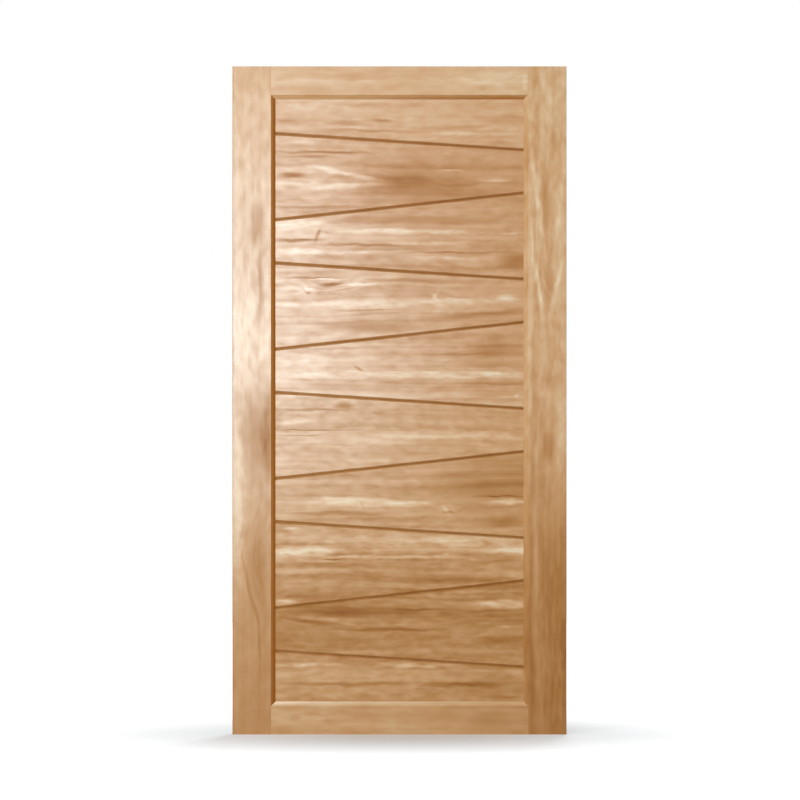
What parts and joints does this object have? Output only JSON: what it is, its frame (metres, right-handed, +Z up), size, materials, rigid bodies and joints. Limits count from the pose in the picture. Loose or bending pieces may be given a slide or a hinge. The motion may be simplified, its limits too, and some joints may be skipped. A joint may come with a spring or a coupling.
{
  "type": "framed and boarded wooden door leaf",
  "caption": "Flat wooden door leaf: a bevelled stile-and-rail frame round a panel of tapered boards with slanted V-joints. Closes a doorway when hung by one edge.",
  "frame": {"origin": "foot of the left (hinge) edge, halfway through the leaf's thickness, on the flat face of that edge", "axes": "+X across the leaf from the hinge edge, +Y from the front face to the back face, +Z up"},
  "size_m": [1.2, 0.044, 2.4],
  "materials": {
    "stile_wood": "satin varnish, grain upright",
    "rail_wood": "satin varnish, grain across",
    "board_wood": "satin varnish, grain across",
    "wedge_wood": "satin varnish, darker hardwood"
  },
  "bodies": {
    "root": {"left_stile": "stile_wood", "right_stile": "stile_wood", "top_rail": "rail_wood", "bottom_rail": "rail_wood", "board_01": "board_wood", "board_02": "board_wood", "board_03": "board_wood", "board_04": "board_wood", "board_05": "board_wood", "board_06": "board_wood", "board_07": "board_wood", "board_08": "board_wood", "board_09": "board_wood", "board_10": "board_wood", "top_left_upper_wedge": "wedge_wood", "top_left_lower_wedge": "wedge_wood", "top_right_upper_wedge": "wedge_wood", "top_right_lower_wedge": "wedge_wood", "bottom_left_upper_wedge": "wedge_wood", "bottom_left_lower_wedge": "wedge_wood", "bottom_right_upper_wedge": "wedge_wood", "bottom_right_lower_wedge": "wedge_wood"}
  },
  "joints": []
}
